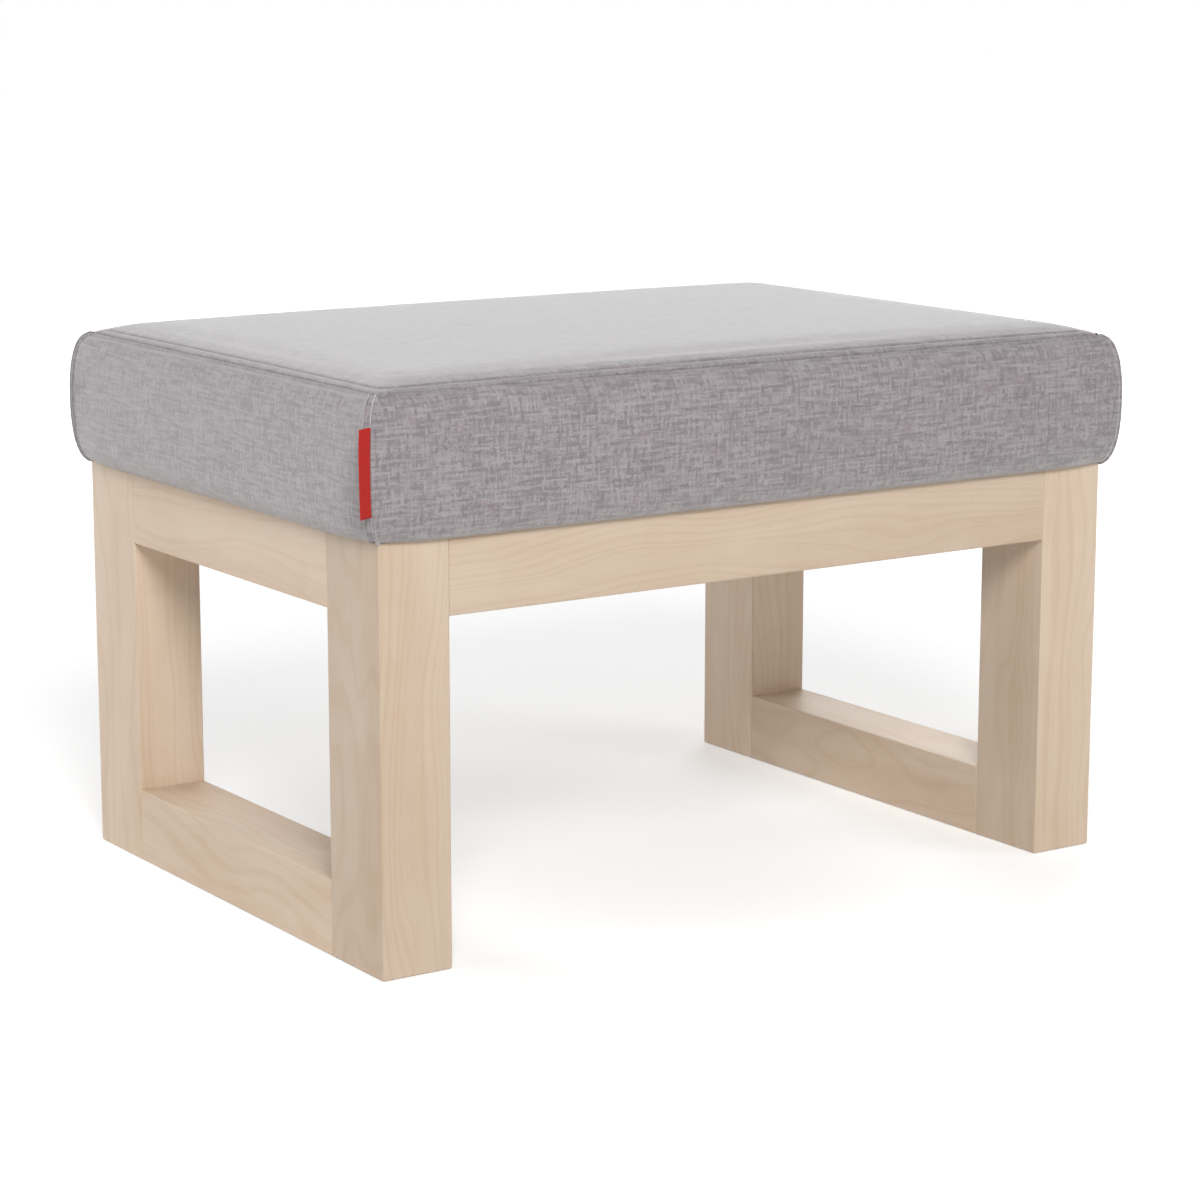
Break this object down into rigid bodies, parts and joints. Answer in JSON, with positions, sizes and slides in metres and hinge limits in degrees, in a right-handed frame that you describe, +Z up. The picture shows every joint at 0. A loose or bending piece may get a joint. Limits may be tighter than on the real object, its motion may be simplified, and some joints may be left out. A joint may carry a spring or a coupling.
{
  "type": "glider ottoman",
  "caption": "Low upholstered footstool with a boxed seat cushion on a timber frame of two closed side loops joined by aprons; stationary, for use with a glider chair.",
  "frame": {"origin": "middle of the base, on the floor under the middle of the timber frame", "axes": "+X along the long front to the right, +Y from the front to the back, +Z up"},
  "size_m": [0.62, 0.4315, 0.3816],
  "materials": {
    "maple": "satin",
    "plywood": "matte",
    "cushion_cloth": "matte",
    "foam": "matte",
    "wadding": "matte",
    "dust_cloth": "matte",
    "label_ribbon": "satin",
    "steel": "satin",
    "brass": "satin",
    "glide_nylon": "satin"
  },
  "bodies": {
    "root": {"leg_front_left": "maple", "leg_front_right": "maple", "leg_back_left": "maple", "leg_back_right": "maple", "top_rail_left": "maple", "top_rail_right": "maple", "floor_rail_left": "maple", "floor_rail_right": "maple", "apron_front": "maple", "apron_back": "maple", "corner_block_front_left": "maple", "corner_block_front_right": "maple", "corner_block_back_left": "maple", "corner_block_back_right": "maple", "corner_block_screws": "steel", "seat_bolts": "steel", "seat_inserts": "brass", "floor_glides": "glide_nylon", "dust_cover": "dust_cloth", "seat_board": "plywood", "seat_foam": "foam", "fibre_wrap": "wadding", "cover_top_panel": "cushion_cloth", "cover_front_panel": "cushion_cloth", "cover_back_panel": "cushion_cloth", "cover_left_panel": "cushion_cloth", "cover_right_panel": "cushion_cloth", "side_label": "label_ribbon"}
  },
  "joints": []
}
